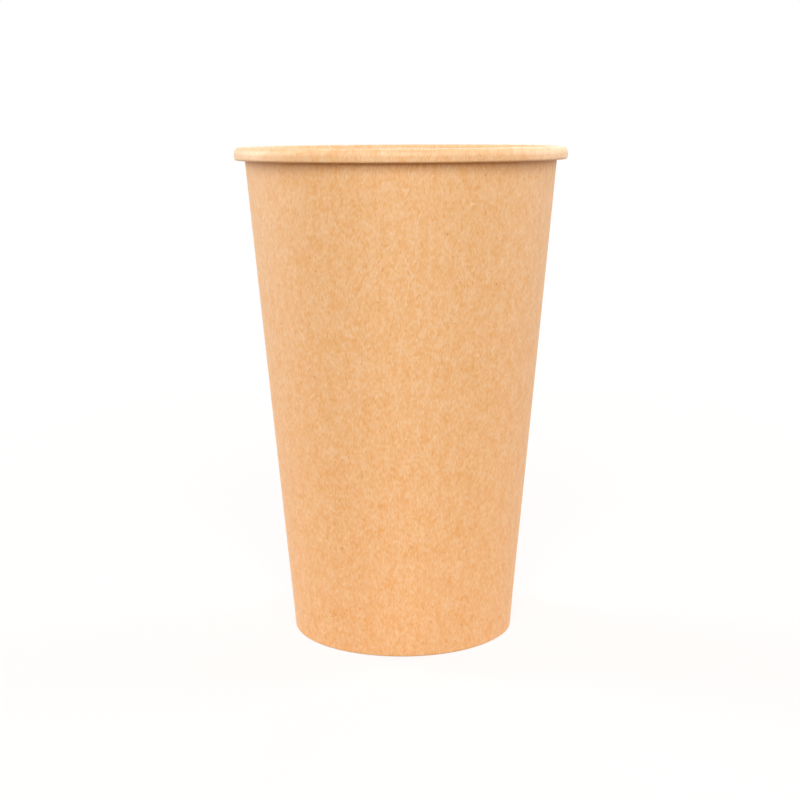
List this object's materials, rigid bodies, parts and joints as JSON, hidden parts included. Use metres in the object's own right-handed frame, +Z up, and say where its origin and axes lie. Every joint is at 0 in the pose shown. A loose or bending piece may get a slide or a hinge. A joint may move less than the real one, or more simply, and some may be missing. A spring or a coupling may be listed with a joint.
{
  "type": "paper coffee cup",
  "caption": "Tall single-wall kraft paper cup, a tapered cone with a rolled rim, a lapped side seam and a recessed bottom disc held by a folded hem.",
  "frame": {"origin": "centre of the foot plane, on the cup's axis", "axes": "+Z up along the cup's axis to the rim; -Y towards the viewer of the picture; the side seam is at the back, 28 degrees from +Y towards -X"},
  "size_m": [0.09, 0.09, 0.1334],
  "materials": {
    "kraft_board": "unprinted brown kraft paperboard, matt with a faint sheen, fine fibres and soft mottling",
    "kraft_disc": "the same brown kraft paperboard, matt"
  },
  "bodies": {
    "root": {"side_wall": "kraft_board", "bottom_disc": "kraft_disc"}
  },
  "joints": []
}
